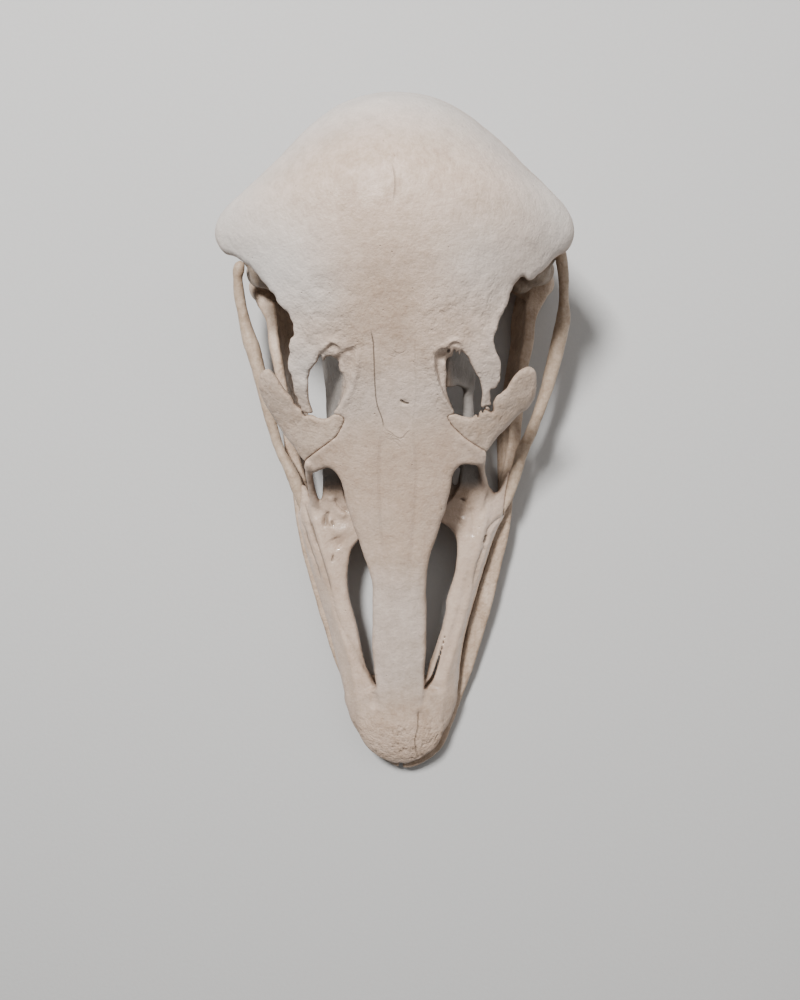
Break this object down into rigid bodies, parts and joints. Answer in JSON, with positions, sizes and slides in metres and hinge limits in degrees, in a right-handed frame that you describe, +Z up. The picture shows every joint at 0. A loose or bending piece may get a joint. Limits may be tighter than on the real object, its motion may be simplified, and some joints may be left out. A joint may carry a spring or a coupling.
{
  "type": "bird skull",
  "caption": "Dry ostrich skull: domed braincase, wide eye sockets, long flat open beak bar, cheek rods and a thin lower jaw beneath.",
  "frame": {"origin": "on the surface the skull lies on, under the middle of its bounding box", "axes": "+X to the bird's left, +Y from the beak towards the nape, +Z up through the crown"},
  "size_m": [0.092, 0.1804, 0.0723],
  "materials": {
    "cranium_bone": "dry cleaned bone, matt with a faint sheen",
    "cheek_bone": "dry cleaned bone, slightly yellower",
    "inner_bone": "dry cleaned bone, duller",
    "jaw_bone": "dry cleaned bone, slightly yellower"
  },
  "bodies": {
    "root": {"cranium": "cranium_bone", "lacrimal_left": "cranium_bone", "lacrimal_right": "cranium_bone", "jugal_arch_left": "cheek_bone", "jugal_arch_right": "cheek_bone", "quadrate_left": "inner_bone", "quadrate_right": "inner_bone", "pterygoid_left": "inner_bone", "pterygoid_right": "inner_bone", "mandible": "jaw_bone"}
  },
  "joints": []
}
